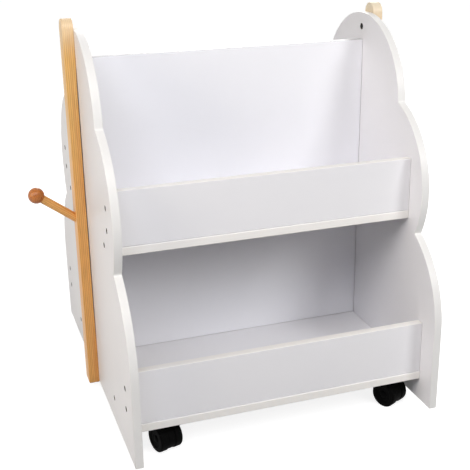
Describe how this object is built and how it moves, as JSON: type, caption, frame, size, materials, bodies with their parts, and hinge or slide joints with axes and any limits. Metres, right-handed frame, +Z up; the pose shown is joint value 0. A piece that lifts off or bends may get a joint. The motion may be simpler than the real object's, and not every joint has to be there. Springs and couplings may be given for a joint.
{
  "type": "tree bookcase",
  "caption": "Double-sided children's bookcase with tree-shaped side panels, lipped shelves, wooden trunk bars with branch pegs, and swivel castors.",
  "frame": {"origin": "on the floor, halfway between the side panels and under the centre divider", "axes": "+X to the right as seen from the front, +Y from the front to the rear, +Z up"},
  "size_m": [0.7872, 0.671, 0.7316],
  "materials": {
    "white_painted_board": "satin white lacquer on fibreboard",
    "lacquered_pine": "honey-coloured pine under clear satin lacquer",
    "stained_beech": "orange-brown stained beech under clear lacquer",
    "zinc_plated_steel": "zinc-plated socket screw",
    "blackened_steel": "black oxide",
    "black_nylon": "moulded black nylon"
  },
  "bodies": {
    "bookcase": {"side_panel_left": "white_painted_board", "side_panel_right": "white_painted_board", "centre_divider": "white_painted_board", "bottom_board": "white_painted_board", "upper_shelf_front": "white_painted_board", "upper_shelf_rear": "white_painted_board", "lower_lip_front": "white_painted_board", "lower_lip_rear": "white_painted_board", "upper_lip_front": "white_painted_board", "upper_lip_rear": "white_painted_board", "trunk_left": "lacquered_pine", "trunk_right": "lacquered_pine", "branch_peg_left": "lacquered_pine", "branch_peg_right": "lacquered_pine", "branch_ball_left": "stained_beech", "branch_ball_right": "stained_beech", "screw_left_front_bottom": "zinc_plated_steel", "screw_left_front_shelf": "zinc_plated_steel", "screw_left_front_upper_lip_high": "zinc_plated_steel", "screw_left_front_upper_lip_low": "zinc_plated_steel", "screw_left_front_lower_lip_high": "zinc_plated_steel", "screw_left_front_lower_lip_low": "zinc_plated_steel", "screw_left_rear_bottom": "zinc_plated_steel", "screw_left_rear_shelf": "zinc_plated_steel", "screw_left_rear_upper_lip_high": "zinc_plated_steel", "screw_left_rear_upper_lip_low": "zinc_plated_steel", "screw_left_rear_lower_lip_high": "zinc_plated_steel", "screw_left_rear_lower_lip_low": "zinc_plated_steel", "screw_right_front_bottom": "zinc_plated_steel", "screw_right_front_shelf": "zinc_plated_steel", "screw_right_front_upper_lip_high": "zinc_plated_steel", "screw_right_front_upper_lip_low": "zinc_plated_steel", "screw_right_front_lower_lip_high": "zinc_plated_steel", "screw_right_front_lower_lip_low": "zinc_plated_steel", "screw_right_rear_bottom": "zinc_plated_steel", "screw_right_rear_shelf": "zinc_plated_steel", "screw_right_rear_upper_lip_high": "zinc_plated_steel", "screw_right_rear_upper_lip_low": "zinc_plated_steel", "screw_right_rear_lower_lip_high": "zinc_plated_steel", "screw_right_rear_lower_lip_low": "zinc_plated_steel", "trunk_bolt_left_upper": "blackened_steel", "trunk_bolt_left_lower": "blackened_steel", "trunk_bolt_right_upper": "blackened_steel", "trunk_bolt_right_lower": "blackened_steel", "castor_plate_front_left": "blackened_steel", "castor_plate_front_right": "blackened_steel", "castor_plate_rear_left": "blackened_steel", "castor_plate_rear_right": "blackened_steel"},
    "swivel_front_left": {"castor_body_front_left": "black_nylon"},
    "wheel_front_left_left": {"castor_wheel_front_left_left": "black_nylon"},
    "wheel_front_left_right": {"castor_wheel_front_left_right": "black_nylon"},
    "swivel_front_right": {"castor_body_front_right": "black_nylon"},
    "wheel_front_right_left": {"castor_wheel_front_right_left": "black_nylon"},
    "wheel_front_right_right": {"castor_wheel_front_right_right": "black_nylon"},
    "swivel_rear_left": {"castor_body_rear_left": "black_nylon"},
    "wheel_rear_left_left": {"castor_wheel_rear_left_left": "black_nylon"},
    "wheel_rear_left_right": {"castor_wheel_rear_left_right": "black_nylon"},
    "swivel_rear_right": {"castor_body_rear_right": "black_nylon"},
    "wheel_rear_right_left": {"castor_wheel_rear_right_left": "black_nylon"},
    "wheel_rear_right_right": {"castor_wheel_rear_right_right": "black_nylon"}
  },
  "joints": [
    {"name": "swivel_turn_front_left", "type": "hinge", "parent": "bookcase", "child": "swivel_front_left", "pos_m": [-0.2229, -0.2448, 0.05], "axis": [0, 0, 1], "continuous": true},
    {"name": "wheel_roll_front_left_left", "type": "hinge", "parent": "swivel_front_left", "child": "wheel_front_left_left", "pos_m": [-0.21779, -0.26206, 0.025], "axis": [0.9588, 0.284, 0], "continuous": true},
    {"name": "wheel_roll_front_left_right", "type": "hinge", "parent": "swivel_front_left", "child": "wheel_front_left_right", "pos_m": [-0.21779, -0.26206, 0.025], "axis": [0.9588, 0.284, 0], "continuous": true},
    {"name": "swivel_turn_front_right", "type": "hinge", "parent": "bookcase", "child": "swivel_front_right", "pos_m": [0.2229, -0.2448, 0.05], "axis": [0, 0, 1], "continuous": true},
    {"name": "wheel_roll_front_right_left", "type": "hinge", "parent": "swivel_front_right", "child": "wheel_front_right_left", "pos_m": [0.23079, -0.26098, 0.025], "axis": [0.8988, 0.4384, 0], "continuous": true},
    {"name": "wheel_roll_front_right_right", "type": "hinge", "parent": "swivel_front_right", "child": "wheel_front_right_right", "pos_m": [0.23079, -0.26098, 0.025], "axis": [0.8988, 0.4384, 0], "continuous": true},
    {"name": "swivel_turn_rear_left", "type": "hinge", "parent": "bookcase", "child": "swivel_rear_left", "pos_m": [-0.2229, 0.2448, 0.05], "axis": [0, 0, 1], "continuous": true},
    {"name": "wheel_roll_rear_left_left", "type": "hinge", "parent": "swivel_rear_left", "child": "wheel_rear_left_left", "pos_m": [-0.21645, 0.228, 0.025], "axis": [0.9336, 0.3584, 0], "continuous": true},
    {"name": "wheel_roll_rear_left_right", "type": "hinge", "parent": "swivel_rear_left", "child": "wheel_rear_left_right", "pos_m": [-0.21645, 0.228, 0.025], "axis": [0.9336, 0.3584, 0], "continuous": true},
    {"name": "swivel_turn_rear_right", "type": "hinge", "parent": "bookcase", "child": "swivel_rear_right", "pos_m": [0.2229, 0.2448, 0.05], "axis": [0, 0, 1], "continuous": true},
    {"name": "wheel_roll_rear_right_left", "type": "hinge", "parent": "swivel_rear_right", "child": "wheel_rear_right_left", "pos_m": [0.22935, 0.228, 0.025], "axis": [0.9336, 0.3584, 0], "continuous": true},
    {"name": "wheel_roll_rear_right_right", "type": "hinge", "parent": "swivel_rear_right", "child": "wheel_rear_right_right", "pos_m": [0.22935, 0.228, 0.025], "axis": [0.9336, 0.3584, 0], "continuous": true}
  ]
}
